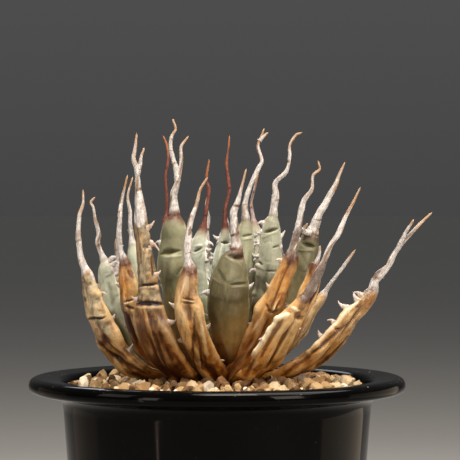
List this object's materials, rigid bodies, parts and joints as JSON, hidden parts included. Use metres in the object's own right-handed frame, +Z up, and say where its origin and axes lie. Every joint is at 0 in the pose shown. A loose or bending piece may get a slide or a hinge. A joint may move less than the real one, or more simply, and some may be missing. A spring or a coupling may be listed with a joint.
{
  "type": "potted eborispina utah agave",
  "caption": "Small spiny agave rosette with long wavy white end spines and dried lower leaves, growing in a round black plastic pot dressed with pumice.",
  "frame": {"origin": "middle of the pot's foot, on the ground", "axes": "+Z up out of the pot; -Y is the front that the picture shows; +X is to the right seen from the front"},
  "size_m": [0.128, 0.12, 0.1808],
  "materials": {
    "pot": "gloss",
    "soil": "matte",
    "dressing": "matte",
    "crown": "matte",
    "dry_leaf": "matte",
    "green_leaf": "satin",
    "pale_leaf": "satin"
  },
  "bodies": {
    "root": {"pot": "pot", "soil": "soil", "dressing": "dressing", "crown": "crown", "leaf_dry_front_left": "dry_leaf", "leaf_dry_front": "dry_leaf", "leaf_dry_right": "dry_leaf", "leaf_dry_front_right": "dry_leaf", "leaf_dry_far_left": "dry_leaf", "leaf_dry_far_right": "dry_leaf", "leaf_dry_left": "dry_leaf", "leaf_dry_layered": "dry_leaf", "leaf_dry_back_right": "dry_leaf", "leaf_dry_back_1": "dry_leaf", "leaf_dry_back_2": "dry_leaf", "leaf_dry_back_3": "dry_leaf", "leaf_dry_back_left": "dry_leaf", "leaf_green_front": "green_leaf", "leaf_green_front_left": "green_leaf", "leaf_green_left": "green_leaf", "leaf_green_right": "green_leaf", "leaf_green_far_right": "green_leaf", "leaf_green_centre": "green_leaf", "leaf_green_left_inner": "green_leaf", "leaf_green_back_1": "green_leaf", "leaf_green_back_2": "green_leaf", "leaf_green_back_3": "green_leaf", "leaf_green_back_4": "green_leaf", "leaf_pale_centre_left": "pale_leaf", "leaf_pale_centre": "pale_leaf", "leaf_pale_centre_right": "pale_leaf", "leaf_young_left": "pale_leaf", "leaf_pale_back_1": "pale_leaf", "leaf_pale_back_2": "pale_leaf", "leaf_bud": "pale_leaf"}
  },
  "joints": []
}
